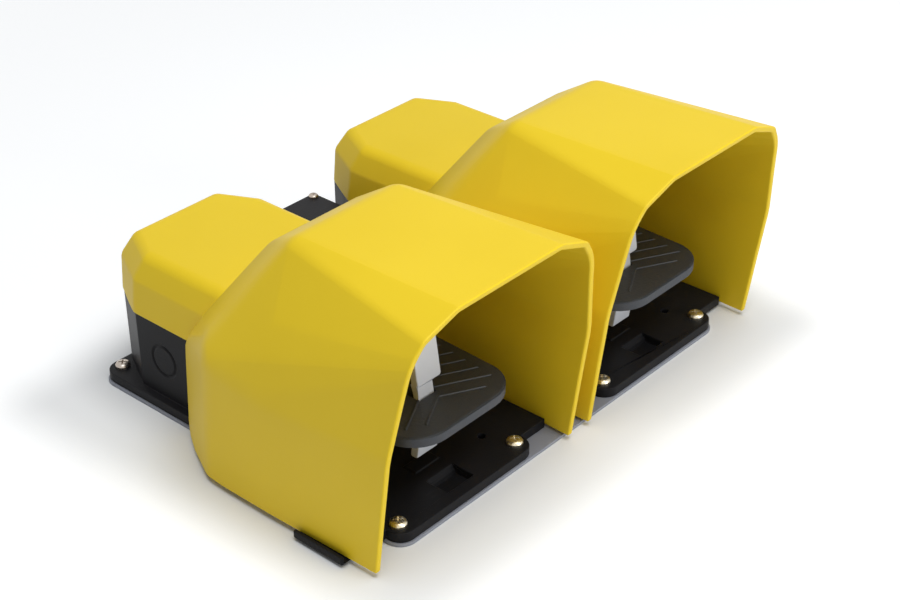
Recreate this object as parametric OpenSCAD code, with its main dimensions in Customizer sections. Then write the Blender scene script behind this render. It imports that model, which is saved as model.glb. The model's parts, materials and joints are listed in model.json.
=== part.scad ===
// Double foot switch: two guarded pedal switches on one steel plate, with a junction box between them.
// Lengths in mm. Origin: middle of the footprint, on the floor. +X to the right, openings face -Y, +Z up.
// Each unit is drawn about its own mid-plane, with Y counted from a point 65 mm behind its front edge.

/* [Layout] */
// Gap between the hoods of the two units
hood_gap = 7.5; // [6:0.5:12]

/* [Mounting plate] */
// Thickness of the steel plate
plate_t = 2; // [1.5:0.5:3]
// How far the plate stands out past the bases
plate_lip = 1; // [0.5:0.5:4]
// Corner radius of the plate
plate_r = 10; // [4:1:16]

/* [Base] */
// Width of the base in front of and behind the hood
base_w = 108; // [106:1:112]
// Thickness of the base floor
base_t = 6; // [6:0.5:8]
// Front edge of the base, ahead of the unit's zero line
base_front = 65; // [64:0.5:68]
// Rear edge of the base, behind the zero line
base_rear = 172; // [171:1:180]
// Corner radius of the base
base_r = 9; // [4:1:12]
// How far the wide part of the base stays inside the hood's outside, on each side
wing_gap = 7; // [6.5:0.5:9]
// Front end of the wide part
wing_front = 54; // [50:1:54]
// Rear end of the wide part
wing_rear = 46; // [40:1:48]
// Length of a clip lug
lug_l = 35; // [20:1:38]
// Height of a clip lug above the underside of the base
lug_h = 4.4; // [3:0.2:6]
// Thickness of a clip lug
lug_t = 2.2; // [1.6:0.2:2.6]
// Depth of the latch pocket along the unit
pocket_l = 15; // [14:0.5:16]
// Rear edge of the latch pocket, ahead of the zero line
pocket_rear = 42.5; // [42:0.5:43]

/* [Switch housing] */
// Width of the housing
box_w = 98; // [94:1:98]
// Rear face of the housing
box_rear = 169.5; // [168:0.5:170]
// Front bulkhead of the housing
box_front = 62; // [61:0.5:64]
// Height of the housing rim above the floor
rim_h = 56.4; // [54:0.2:57]
// Wall thickness of the housing
box_wall = 3; // [2:0.5:4]
// Radius of a cable knock-out
knock_r = 10.05; // [8:0.05:12]
// Distance of the knock-outs behind the zero line
knock_y = 120; // [118:1:124]
// Height of the knock-outs above the floor
knock_z = 32.8; // [28:0.2:34]

/* [Guard hood] */
// Height of the hood at its opening, above the floor
hood_h = 149.5; // [148:0.5:153]
// Wall thickness of the hood
hood_wall = 3.6; // [2.4:0.2:4.4]
// Width of the hood at its widest part
hood_w = 164; // [163:0.5:165]
// How much narrower the hood is at its opening
mouth_narrow = 5.6; // [4:0.2:7]
// Width of the flat top
hood_flat_w = 80; // [70:1:90]
// Height of the bend in the side walls of hood and cover
bend_h = 79; // [76:1:82]
// Lower edge of the hood above the floor
hood_edge_h = 3.6; // [3.4:0.1:4]
// Lean of the opening: how far its top is ahead of its foot
hood_lean = 21; // [14:1:24]
// End of the flat top, behind the zero line
crest_y = 20; // [14:1:26]
// Height of the hood's rear edge above the floor
hood_rear_h = 131; // [128:0.5:133]

/* [Rear cover] */
// Width of the cover
cover_w = 102; // [101:0.5:104]
// Wall thickness of the cover
cover_wall = 3.2; // [2.4:0.2:3.6]
// Height of the cover above the floor
cover_top_h = 95; // [93:0.5:98]
// Width of the flat top of the cover
cover_flat_w = 88; // [82:1:90]
// Gap between hood and cover along the joint
joint_gap = 0.5; // [0.4:0.1:1]
// Thickness of the cover gasket
gasket_t = 1.2; // [0.8:0.1:1.6]

/* [Pedal] */
// Height of the tread above the floor
tread_h = 57; // [56.5:0.5:59]
// Thickness of the tread plate
tread_t = 6; // [5.5:0.5:7]
// Width of the tread at its front
tread_w = 83; // [76:1:88]
// Length of the tread plate
tread_l = 96; // [90:1:100]
// Front corner radius of the tread
tread_r = 22; // [12:1:26]
// Spacing of the chevron ribs
rib_step = 10.4; // [8:0.2:13]
// Height of the chevron ribs
rib_h = 0.6; // [0.4:0.1:1]
// Pedal pivot behind the zero line
pivot_y = 50; // [49:0.5:51]
// Pedal pivot above the floor
pivot_z = 44; // [43:0.5:45]
// Radius of the pivot pin
pivot_r = 3; // [2.5:0.1:3.5]

/* [Safety latch] */
// Latch pin ahead of the zero line
latch_pin_y = 36.25; // [36:0.25:36.5]
// Latch pin below the tread
latch_pin_drop = 8; // [7.75:0.25:8.25]
// Radius of the latch pin
latch_pin_r = 2; // [1.6:0.1:2.2]
// Width of the latch paddle
paddle_w = 18; // [14:1:20]
// Top of the paddle above the floor
paddle_top = 106; // [90:1:114]
// Thickness of paddle and leg
latch_t = 5; // [4:0.25:5.25]
// Lowest point of the latch leg above the floor
latch_foot_h = 17; // [17:0.5:18]

/* [Junction box] */
// Front of the junction box
junction_front = 100; // [99:0.5:101]
// Rear of the junction box
junction_rear = 171; // [166:1:172]
// Top of the junction box lid above the floor
junction_h = 53; // [50:0.5:56]
// Radius of the cable entry in its rear wall
entry_r = 10.15; // [8.15:0.5:10.15]

/* [Fits] */
// Radial clearance of a pin in its hole
pin_clear = 0.05; // [0.03:0.01:0.08]
// Gap between pieces that rest on each other
seat_gap = 0.3; // [0.2:0.05:0.5]

/* [Hidden] */
$fn = 48;

yellow = "#e8c31e";
black = "#1f1f21";
tread_black = "#2a2a2c";
latch_grey = "#b9babf";
steel = "#c9cacc";
brass_zinc = "#c9b46a";

unit_pitch = hood_w + hood_gap;
hood_mouth_w = hood_w - mouth_narrow;
wing_w = hood_w - 2 * wing_gap;
base_top = plate_t + base_t;
front_y = -(base_front + plate_lip);
rear_y = base_rear + plate_lip;

// Side view of the hood: the top and the upper bend fall towards the rear, the joint leans forward
top_fall = 0.03;
chamfer_fall = 0.248;
mouth_y = -base_front - 5.5;
mouth_top_y = mouth_y - hood_lean;
joint_foot_y = 95.5;
joint_slope = 0.7036;
function top_at(y) = hood_h - top_fall * (y - mouth_top_y);
function chamfer_at(y) = hood_h - 14 - chamfer_fall * (y + 89.5);
function joint_at(z) = joint_foot_y - joint_slope * (z - rim_h);
function ahead(a, b, t) = a + (b - a) * t;

// Corners of the sharp hood shape from the top down, each with its inward shift per mm of edge radius
front_station_y = -112;
mid_station_y = 4;
deep_z = -20;
hood_front = [
    [[hood_flat_w / 2, front_station_y, top_at(front_station_y)], [0.25, 0, 1]],
    [[hood_w / 2 - 14.4, front_station_y, chamfer_at(front_station_y)], [0.87, 0, 0.64]],
    [[hood_mouth_w / 2 - 0.8, front_station_y, bend_h], [1, 0, 0.11]],
    [[hood_mouth_w / 2 - 2, front_station_y, deep_z], [1, 0, 0]]
];
hood_mid = [
    [[hood_flat_w / 2 + 0.5, mid_station_y, top_at(mid_station_y)], [0.5, 0, 1]],
    [[hood_w / 2 - 15, mid_station_y, chamfer_at(mid_station_y)], [0.85, 0, 0.53]],
    [[hood_w / 2, mid_station_y, bend_h], [1, 0, 0.24]],
    [[hood_w / 2 - 1.7, mid_station_y, deep_z], [1, 0, 0]]
];
hood_shoulder = [
    [[hood_flat_w / 2 + 0.5, crest_y, top_at(crest_y)], [0.5, 0.35, 1]],
    [[hood_w / 2 - 16, crest_y + 6, chamfer_at(crest_y + 6)], [0.85, 0.27, 0.53]],
    [[hood_w / 2 - 2, 51, bend_h], [1, 0.35, 0.24]],
    [[hood_w / 2 - 2.2, 50, deep_z], [1, 0.25, 0]]
];
hood_joint = [
    [[hood_flat_w / 2 - 7, joint_at(hood_rear_h), hood_rear_h], [0.44, 0.35, 1]],
    [[cover_flat_w / 2 + 0.3, joint_at(cover_top_h - 1), cover_top_h - 1], [0.87, 0.3, 0.53]],
    [[cover_w / 2 - 0.4, joint_at(bend_h), bend_h], [1, 0.41, 0.33]],
    [[cover_w / 2 + 1, joint_foot_y + 1.5, rim_h + 1], [0.9, 0.6, 0]]
];
hood_heel = [
    [[hood_w / 2 - 15.2, joint_foot_y - 13.5, deep_z], [1, 0.5, 0]],
    [[cover_w / 2 + 3.8, joint_foot_y + 3.5, deep_z], [0.9, 0.6, 0]]
];
past_joint = 1.1;
hood_front_r = 9;
hood_mid_r = [16, 23, 20, 12];
hood_shoulder_r = [14, 26, 22, 13];
hood_joint_r = 7;

// Rear cover corners, in the same form
cover_r = 8;
cover_low = rim_h + gasket_t;
cover_foot_z = cover_low - 12;
cut_y = box_rear - 28;
cut_x = box_w / 2 - 14.5;
cover_corners = [
    [[cover_flat_w / 2, 40, cover_top_h], [0.69, 0, 1]],
    [[cover_w / 2 - 1, 40, bend_h], [1, 0, 0.2]],
    [[cover_w / 2 + 0.6, 40, cover_foot_z], [1, 0, 0]],
    [[cover_flat_w / 2, cut_y - 7, cover_top_h], [0.69, 0.2, 1]],
    [[cover_w / 2 - 1, cut_y - 2.5, bend_h], [1, 0.25, 0.2]],
    [[cover_w / 2 + 0.6, cut_y, cover_foot_z], [1, 0.25, 0]],
    [[cut_x - 3.8, box_rear - 11, cover_top_h], [0.35, 0.55, 1]],
    [[cut_x + 1, box_rear - 2, bend_h], [0.6, 1, 0.15]],
    [[cut_x + 1, box_rear + 1.5, cover_foot_z], [0.6, 1, 0]]
];

latch_pin_z = tread_h - latch_pin_drop;
tread_under = tread_h - tread_t;
tread_front = -base_front;
clear = 0.4;

module in_frame() {
    translate([0, -(mouth_top_y + rear_y) / 2, 0]) children();
}

// side is -1 for the left unit and 1 for the right one
module in_unit(side) {
    in_frame() translate([side * unit_pitch / 2, 0, 0]) children();
}

// The drawing of a unit has its junction box side at -X, as on the right unit
module handed(side) {
    in_unit(side) scale_x(side) children();
}

module scale_x(side) {
    if (side < 0) mirror([1, 0, 0]) children();
    else children();
}

module both_sides() {
    for (s = [-1, 1]) scale_x(s) children();
}

// Polygon drawn in Y and Z, given a thickness along X about the mid-plane
module across(width) {
    translate([-width / 2, 0, 0]) rotate([90, 0, 90]) linear_extrude(width) children();
}

function arc(cx, cy, r, a0, a1, n = 6) = [
    for (i = [0 : n]) let (a = a0 + (a1 - a0) * i / n) [cx + r * cos(a), cy + r * sin(a)]
];

// Rectangle from (x0, y0) to (x1, y1) with round corners
module round_rect(x0, y0, x1, y1, r) {
    polygon(concat(
        arc(x1 - r, y0 + r, r, -90, 0), arc(x1 - r, y1 - r, r, 0, 90),
        arc(x0 + r, y1 - r, r, 90, 180), arc(x0 + r, y0 + r, r, 180, 270)
    ));
}

module rod_x(r, x0, x1, y, z) {
    translate([x0, y, z]) rotate([0, 90, 0]) cylinder(r = r, h = x1 - x0);
}

// Pan head screw, pointing down, with the underside of its head at the origin
module pan_screw(shank_r, length, head_r, head_h) {
    difference() {
        union() {
            translate([0, 0, -length]) cylinder(r = shank_r, h = length);
            rotate_extrude() polygon(concat(
                [[0, 0], [head_r, 0], [head_r, head_h * 0.4]],
                [for (a = [30 : 15 : 90]) [head_r * cos(a), head_h * (0.4 + 0.6 * sin(a))]]
            ));
        }
        cross_recess(head_r * 1.1, head_h);
    }
}

module cross_recess(width, top) {
    for (a = [45, 135]) {
        rotate([0, 0, a]) translate([-width / 2, -width / 12, top * 0.45]) {
            cube([width, width / 6, top]);
        }
    }
}

module mounting_plate() {
    reach = unit_pitch / 2 + base_w / 2 + plate_lip;
    color(steel) in_frame() difference() {
        linear_extrude(plate_t) round_rect(-reach, front_y, reach, rear_y, plate_r);
        for (side = [-1, 1]) translate([side * unit_pitch / 2, 0, -1]) {
            both_sides() {
                for (p = base_screw_spots) translate(p) {
                    cylinder(r = base_screw_r + pin_clear, h = plate_t + 2);
                }
                for (p = cover_screw_spots) translate(p) cylinder(r = cover_boss_r, h = plate_t + 2);
                translate(hood_screw_spot) cylinder(r = hood_screw_head_r + 1, h = plate_t + 2);
            }
        }
        for (p = box_screw_spots) translate([p[0], p[1], -1]) {
            cylinder(r = box_screw_r + pin_clear, h = plate_t + 2);
        }
    }
}

// Screw places, in unit coordinates, for one side of the mid-plane
base_screw_r = 2.5;
front_head = [4.8, 3.4];
rear_head = [4.4, 3.2];
base_screw_l = base_top - seat_gap;
front_screw_spot = [base_w / 2 - 7.5, -base_front + 9.2];
rear_screw_spot = [box_w / 2 - 4.3, base_rear - 7];
base_screw_spots = [front_screw_spot, rear_screw_spot];
cover_screw_r = 2;
cover_screw_sink = 3.4;
cover_head_r = 3.9;
cover_head_h = 3;
cover_screw_end = 1.5;
cover_boss_h = 24;
cover_boss_r = 5;
cover_screw_spots = [[box_w / 2 - 6, joint_foot_y + 6.5], [cut_x + 1.5, box_rear - 19.5]];
hood_screw_r = 1.5;
hood_screw_sink = 2.4;
hood_screw_head_r = 2.9;
hood_boss_h = 16;
hood_boss_r = 4.2;
hood_screw_spot = [wing_w / 2 - 4, 30];
block_screw_r = 1.5;
block_screw_head_r = 2.8;
block_screw_head_h = 2;
block_screw_l = 22;
box_screw_r = 2;
junction_wall = 3;
foot_in = 1;
junction_half = unit_pitch / 2 - box_w / 2 - 2.2;
foot_half = min((unit_pitch - base_w) / 2 - seat_gap, junction_half - foot_in);
box_screw_spots = [for (x = [-1, 1]) [x * (foot_half - 13.45), junction_front + 12]];

// Plan of the housing, drawn in by a wall thickness
module box_plan(inset) {
    r = 3;
    x1 = box_w / 2 - inset - r;
    y1 = cut_y - 0.24 * (inset + r);
    x2 = cut_x - 0.61 * (inset + r);
    y2 = box_rear - inset - r;
    polygon(concat(
        arc(x1, y1, r, 0, 27, 3), arc(x2, y2, r, 27, 90, 4),
        arc(-x2, y2, r, 90, 153, 4), arc(-x1, y1, r, 153, 180, 3),
        [[-x1 - r, box_front + inset], [x1 + r, box_front + inset]]
    ));
}

// Raised front of the housing under hood and cover, drawn in by a wall thickness
bulkhead_h = cover_top_h - cover_wall - 0.7;
spigot = 2;
module raised_front(inset) {
    w = cover_w / 2 - cover_wall - 1.6 - inset;
    top_w = cover_flat_w / 2 - cover_wall - 2.2 - inset;
    top = bulkhead_h - inset;
    back = inset > 0 ? spigot + 10 : spigot;
    intersection() {
        across(box_w) polygon([
            [box_front + inset, base_top - 1], [box_front + inset, top],
            [joint_at(top) + back, top], [joint_at(rim_h) + back, rim_h],
            [joint_at(rim_h) + back, base_top - 1]
        ]);
        translate([0, base_rear, 0]) rotate([90, 0, 0]) linear_extrude(base_rear) polygon([
            [-w, 0], [w, 0], [w, bend_h - 3], [top_w, top], [-top_w, top], [-w, bend_h - 3]
        ]);
    }
}

cheek_x = 28;
cheek_t = 6;
tail_w = 14;
tail_top = pivot_z + 3;
tail_low = pivot_z - 3;
tail_end = box_front + 30;
post_x = 18;
block_ahead = 11;
block_l = 38;
post_in = 7;
block_y0 = box_front + block_ahead;
block_y1 = block_y0 + block_l;
post_y = [block_y0 + post_in, block_y1 - post_in];
block_low = tail_top + 8;
spring_y = 20;
spring_r = 7.5;
spring_wire = 0.9;
spring_steps = 8;
spring_spigot_r = spring_r * cos(180 / spring_steps) - spring_wire - clear;

module base_floor() {
    translate([0, 0, plate_t]) linear_extrude(base_t) {
        round_rect(-base_w / 2, -base_front, base_w / 2, base_rear, base_r);
        polygon([
            [-wing_w / 2, -wing_front], [wing_w / 2, -wing_front],
            [wing_w / 2, wing_rear - 12], [wing_w / 2 - 12, wing_rear],
            [-wing_w / 2 + 12, wing_rear], [-wing_w / 2, wing_rear - 12]
        ]);
    }
}

// Clip lug: a thin web under the hood wall and an upright bar outside it
lug_out = hood_w / 2 + 2.1;
module clip_lug() {
    web_t = hood_edge_h - seat_gap - plate_t;
    y0 = -wing_front + 2;
    translate([wing_w / 2 - 4, y0, plate_t]) cube([lug_out - wing_w / 2 + 3, lug_l, web_t]);
    translate([0, 0, plate_t]) linear_extrude(lug_h) round_rect(lug_out - lug_t, y0, lug_out, y0 + lug_l, 1);
}

// One cheek of the pedal bearing
module pivot_cheek() {
    translate([cheek_x, 0, 0]) rotate([90, 0, 90]) linear_extrude(cheek_t) polygon(concat(
        arc(pivot_y, pivot_z, 9, 90, 180, 8),
        [[pivot_y - 14, base_top - 1], [box_front + 1, base_top - 1], [box_front + 1, pivot_z + 9]]
    ));
}

module base(side) {
    color(black) handed(side) difference() {
        union() {
            base_floor();
            both_sides() clip_lug();
            both_sides() pivot_cheek();
            // housing walls
            difference() {
                translate([0, 0, plate_t + 1]) linear_extrude(rim_h - plate_t - 1) box_plan(0);
                translate([0, 0, base_top]) linear_extrude(rim_h) box_plan(box_wall);
            }
            difference() {
                raised_front(0);
                raised_front(box_wall);
            }
            // columns for the cover screws and posts for the contact block
            both_sides() for (p = cover_screw_spots) translate([p[0], p[1], plate_t]) {
                cylinder(r = cover_boss_r, h = rim_h - plate_t);
            }
            both_sides() for (y = post_y) translate([post_x - 4, y - 4, base_top - 1]) {
                cube([8, 8, block_low - base_top + 1]);
            }
            // latch ledge and spring spigot
            translate([-9.5, -34, base_top - 1]) cube([19, 9, 1.8]);
            translate([0, spring_y, base_top - 1]) cylinder(r = spring_spigot_r, h = 5);
        }
        // latch pocket, with its stepped rear wall
        across(20.6) polygon([
            [-pocket_rear - pocket_l, plate_t + 1], [-pocket_rear - pocket_l, base_top + 1],
            [-pocket_rear, base_top + 1], [-pocket_rear, base_top - 0.4],
            [-pocket_rear - 0.8, base_top - 2.2], [-pocket_rear - 1.8, base_top - 2.6],
            [-pocket_rear - 2.8, plate_t + 1]
        ]);
        both_sides() {
            translate([39.5, -38, plate_t - 1]) cylinder(r = 2.2, h = base_t + 2);
            for (p = base_screw_spots) translate([p[0], p[1], plate_t - 1]) {
                cylinder(r = base_screw_r + pin_clear, h = base_t + 2);
            }
            for (p = cover_screw_spots) translate([p[0], p[1], plate_t - 1]) {
                cylinder(r = cover_screw_r + pin_clear, h = rim_h);
                cylinder(r = cover_head_r + seat_gap, h = 1 + cover_screw_sink);
            }
            translate([hood_screw_spot[0], hood_screw_spot[1], plate_t - 1]) {
                cylinder(r = hood_screw_r + pin_clear, h = base_t + 2);
                cylinder(r = hood_screw_head_r + seat_gap, h = 1 + hood_screw_sink);
            }
            for (y = post_y) translate([post_x, y, base_top + 8]) {
                cylinder(r = block_screw_r + pin_clear, h = rim_h);
            }
        }
        rod_x(pivot_r + pin_clear, -cheek_x - cheek_t - 1, cheek_x + cheek_t + 1, pivot_y, pivot_z);
        // opening for the pedal's rear arm
        translate([-tail_w / 2 - 2, box_front - 1, tail_low - seat_gap]) cube([tail_w + 4, box_wall + 3, 12]);
        // outer side: ring of the knock-out. Junction box side: open hole for the link bush
        difference() {
            rod_x(knock_r + 0.3, box_w / 2 - 0.9, box_w / 2 + 1, knock_y, knock_z);
            rod_x(knock_r - 1.3, box_w / 2 - 2, box_w / 2 + 1, knock_y, knock_z);
        }
        rod_x(knock_r, -box_w / 2 - 1, -box_w / 2 + box_wall + 1, knock_y, knock_z);
    }
}

// Round-edged body through the stations, drawn in by a wall thickness
function shifted(corner, r) = corner[0] - r * corner[1];
module edge_balls(centres, r) {
    for (p = centres) both_sides() translate(p) sphere(r = r, $fn = 20);
}

module hood_body(inset) {
    hull() {
        edge_balls([for (c = hood_front) shifted(c, hood_front_r)], hood_front_r - inset);
        for (i = [0 : 3]) {
            edge_balls([shifted(hood_mid[i], hood_mid_r[i])], hood_mid_r[i] - inset);
            r = hood_shoulder_r[i];
            s = shifted(hood_shoulder[i], r);
            j = shifted(hood_joint[i], hood_joint_r);
            edge_balls([s], r - inset);
            edge_balls([ahead(s, j, i == 3 ? 1 : past_joint)], hood_joint_r - inset);
        }
        edge_balls([for (c = hood_heel) shifted(c, hood_joint_r)], hood_joint_r - inset);
    }
}

// Side outline of the hood: leaning mouth, joint with the cover and upright rear edge
module hood_outline() {
    top = hood_h + 10;
    polygon([
        [mouth_y, hood_edge_h], [ahead(mouth_y, mouth_top_y, 0.5), bend_h],
        [ahead(mouth_y, mouth_top_y, 0.86), hood_h - 15], [mouth_top_y, hood_h], [mouth_top_y - 1.4, top],
        [joint_at(top), top], [joint_foot_y, rim_h], [joint_foot_y, hood_edge_h]
    ]);
}

// Side outline of its hollow: above the housing's raised front the hood is closed by a rear wall
close_h = bulkhead_h + 0.4;
module hollow_outline() {
    top = hood_h + 10;
    back = hood_wall * sqrt(1 + joint_slope * joint_slope);
    polygon([
        [-200, -50], [-200, top], [joint_at(top) - back, top], [joint_at(close_h) - back, close_h],
        [joint_foot_y + 30, close_h], [joint_foot_y + 30, -50]
    ]);
}

module hood(side) {
    color(yellow) in_unit(side) difference() {
        intersection() {
            union() {
                difference() {
                    hood_body(0);
                    intersection() {
                        hood_body(hood_wall);
                        across(hood_w + 10) hollow_outline();
                    }
                }
                intersection() {
                    hood_body(hood_wall / 2);
                    both_sides() hood_boss();
                }
            }
            across(hood_w + 10) hood_outline();
        }
        both_sides() translate([hood_screw_spot[0], hood_screw_spot[1], 0]) {
            cylinder(r = hood_screw_r + pin_clear, h = base_top + hood_boss_h - 2);
        }
        // room for the base, which runs out below the rear edge, and for the housing
        translate([-base_w / 2 - seat_gap, box_front, 0]) {
            cube([base_w + 2 * seat_gap, base_rear, base_top + seat_gap]);
        }
        translate([-box_w / 2 - seat_gap, box_front, 0]) {
            cube([box_w + 2 * seat_gap, base_rear, rim_h + seat_gap]);
        }
    }
}

// Screw boss on the inside of the hood wall, standing on the base
module hood_boss() {
    translate([hood_screw_spot[0], hood_screw_spot[1], base_top + seat_gap]) {
        cylinder(r = hood_boss_r, h = hood_boss_h);
        translate([0, -hood_boss_r / 2, 0]) cube([4 * hood_boss_r, hood_boss_r, hood_boss_h]);
    }
}

module cover_body(inset) {
    hull() edge_balls([for (c = cover_corners) shifted(c, cover_r)], cover_r - inset);
}

// Side outline of the cover, behind the joint
module cover_outline() {
    polygon([
        [joint_at(cover_low) + joint_gap, cover_low], [joint_at(140) + joint_gap, 140],
        [200, 140], [200, cover_low]
    ]);
}

module rear_cover(side) {
    color(yellow) in_unit(side) difference() {
        union() {
            intersection() {
                difference() {
                    cover_body(0);
                    cover_body(cover_wall);
                }
                across(cover_w + 10) cover_outline();
            }
            intersection() {
                both_sides() for (p = cover_screw_spots) translate([p[0], p[1], cover_low]) {
                    cylinder(r = cover_boss_r, h = cover_boss_h);
                }
                cover_body(cover_wall / 2);
            }
        }
        both_sides() for (p = cover_screw_spots) translate([p[0], p[1], cover_low - 1]) {
            cylinder(r = cover_screw_r + pin_clear, h = cover_boss_h / 2 + 1);
        }
    }
}

module cover_gasket(side) {
    color("#303032") in_unit(side) difference() {
        translate([0, 0, rim_h]) linear_extrude(gasket_t) difference() {
            box_plan(0.3);
            box_plan(box_wall - 0.3);
        }
        translate([-box_w, 0, 0]) cube([2 * box_w, joint_at(rim_h) + spigot + 1, 100]);
    }
}

// Outline of the tread, a little wider towards its rear
module tread_outline(inset = 0) {
    w = tread_w / 2 - inset;
    back_w = w + 2.5;
    y0 = tread_front + inset;
    y1 = tread_front + tread_l - inset;
    r = tread_r - inset;
    polygon(concat(
        arc(w - r, y0 + r, r, -90, 0, 8), arc(back_w - 6, y1 - 6, 6, 0, 90, 4),
        arc(-back_w + 6, y1 - 6, 6, 90, 180, 4), arc(-w + r, y0 + r, r, 180, 270, 8)
    ));
}

// Chevron rib with its point towards the rear
chevron_slope = 0.54;
rib_w = 1.5;
module chevron(apex_y, half_w) {
    drop = chevron_slope * half_w;
    translate([0, 0, tread_h - 0.5]) linear_extrude(rib_h + 0.5) polygon([
        [0, apex_y], [half_w, apex_y - drop], [half_w, apex_y - drop - rib_w],
        [0, apex_y - rib_w], [-half_w, apex_y - drop - rib_w], [-half_w, apex_y - drop]
    ]);
}

coil_r = 2.95;
coil_wire = 0.45;
arm_x = 21;
arm_t = 6;
barrel_r = 4.5;
barrel_left = 13;
barrel_right = 8.4;
barrel_room = barrel_r + clear;
slot_x = barrel_left + clear;
ear_t = 5;
neck_w = 12;
neck_front = 1.7;
neck_back = 2.1;
latch_lean = 8.3;
latch_swing = 35;

// The rear of the slot slopes, for the neck when the latch is pushed back
module neck_slot() {
    h = latch_pin_drop + 1;
    front = -latch_pin_y - neck_front + clear / 2;
    back = -latch_pin_y + neck_back / cos(latch_lean + latch_swing) + clear;
    translate([(neck_w - paddle_w) / 2, 0, 0]) across(neck_w + 2 * clear) polygon([
        [front, latch_pin_z], [front, latch_pin_z + h],
        [back + h * tan(latch_lean + latch_swing), latch_pin_z + h], [back, latch_pin_z]
    ]);
}

module pedal(side) {
    edge = 0.8;
    color(tread_black) in_unit(side) difference() {
        union() {
            translate([0, 0, tread_under]) linear_extrude(tread_t - edge) tread_outline();
            translate([0, 0, tread_h - edge - 0.01]) linear_extrude(edge / 2 + 0.01) tread_outline(edge / 3);
            translate([0, 0, tread_h - edge / 2 - 0.01]) linear_extrude(edge / 2 + 0.01) tread_outline(edge);
            chevron(-41.5, 23);
            for (i = [1 : 5]) chevron(-41.5 + i * rib_step, 32 + i);
            // stiffening arms down to the pivot
            both_sides() translate([arm_x, 0, 0]) across(arm_t) polygon(concat(
                [[-48, tread_under + 1], [-44, tread_under - 2], [20, pivot_z - 3]],
                arc(pivot_y, pivot_z, 8, 235, 450, 12),
                [[tread_front + tread_l - 8, tread_under + 1]]
            ));
            rod_x(7, -arm_x, arm_x, pivot_y, pivot_z);
            // rear arm that lifts the plunger
            translate([-tail_w / 2, pivot_y, tail_low]) {
                cube([tail_w, tail_end - pivot_y, tail_top - tail_low]);
            }
            // ears of the latch pin and spigot of the return spring
            both_sides() translate([slot_x + ear_t / 2, 0, 0]) across(ear_t) polygon(concat(
                arc(-latch_pin_y, latch_pin_z, barrel_r, 180, 360, 12),
                [[-latch_pin_y + barrel_r + 2, tread_under + 1], [-latch_pin_y - barrel_r - 2, tread_under + 1]]
            ));
            translate([0, spring_y, tread_under - 4]) cylinder(r = spring_spigot_r, h = 5);
        }
        // room for the latch barrel below the tread, and a slot through it for the neck alone
        translate([-slot_x, -latch_pin_y - barrel_room, latch_pin_z]) cube([2 * slot_x, 2 * barrel_room, barrel_room]);
        neck_slot();
        rod_x(latch_pin_r + pin_clear, -slot_x - 6, slot_x + 6, -latch_pin_y, latch_pin_z);
        rod_x(pivot_r + pin_clear, -40, 40, pivot_y, pivot_z);
    }
}

module pivot_pin(side) {
    end = cheek_x + cheek_t + 3;
    color(steel) in_unit(side) difference() {
        rod_x(pivot_r, -end, end, pivot_y, pivot_z);
        both_sides() difference() {
            rod_x(pivot_r + 1, end - 2.3, end - 1.5, pivot_y, pivot_z);
            rod_x(pivot_r - 0.7, end - 3, end, pivot_y, pivot_z);
        }
    }
}

// E clips in the grooves of the pivot pins
module pivot_clips() {
    x0 = cheek_x + cheek_t + 0.75;
    color(steel) for (side = [-1, 1]) in_unit(side) both_sides() difference() {
        rod_x(pivot_r + 2.4, x0, x0 + 0.7, pivot_y, pivot_z);
        rod_x(pivot_r - 0.65, x0 - 1, x0 + 2, pivot_y, pivot_z);
        translate([x0 - 1, pivot_y - 1.6, pivot_z]) cube([3, 3.2, 10]);
    }
}

// Side outlines of the latch: the leg slants back to its foot, the paddle leans back to its top
leg_foot_y = -latch_pin_y + 4.65;
paddle_low = 14.8;
rib_low = 21.5;
module latch(side) {
    color(latch_grey) in_unit(side) difference() {
        union() {
            rod_x(barrel_r, -barrel_left, barrel_right, -latch_pin_y, latch_pin_z);
            across(16) polygon([
                [-latch_pin_y - latch_t / 2, latch_pin_z], [leg_foot_y - latch_t / 2, latch_foot_h + 0.8],
                [leg_foot_y - latch_t / 2 + 0.8, latch_foot_h],
                [leg_foot_y + latch_t / 2 - 0.8, latch_foot_h],
                [leg_foot_y + latch_t / 2, latch_foot_h + 0.8], [-latch_pin_y + latch_t / 2, latch_pin_z]
            ]);
            // peg for the latch spring
            rod_x(1, 6, slot_x - 0.5, -latch_pin_y - coil_r + 1.6, latch_pin_z - 8.5);
            translate([0, -latch_pin_y, latch_pin_z]) rotate([-latch_lean, 0, 0]) {
                // neck, flush with one side of the paddle
                translate([-paddle_w / 2, -neck_front, 0]) {
                    cube([neck_w, neck_front + neck_back, paddle_low + 2]);
                }
                // paddle with a stiffening rib behind
                translate([0, latch_t / 2, 0]) rotate([90, 0, 0]) linear_extrude(latch_t) {
                    round_rect(-paddle_w / 2, paddle_low, paddle_w / 2, paddle_top - latch_pin_z, 1.6);
                }
                translate([-1.5, latch_t / 2 - 0.5, rib_low]) {
                    cube([3, 2.5, paddle_top - latch_pin_z - rib_low - 6]);
                }
            }
        }
        rod_x(latch_pin_r + pin_clear, -20, 20, -latch_pin_y, latch_pin_z);
    }
}

module latch_pin(side) {
    color(steel) in_unit(side) rod_x(latch_pin_r, -slot_x - ear_t, slot_x + ear_t, -latch_pin_y, latch_pin_z);
}

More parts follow.
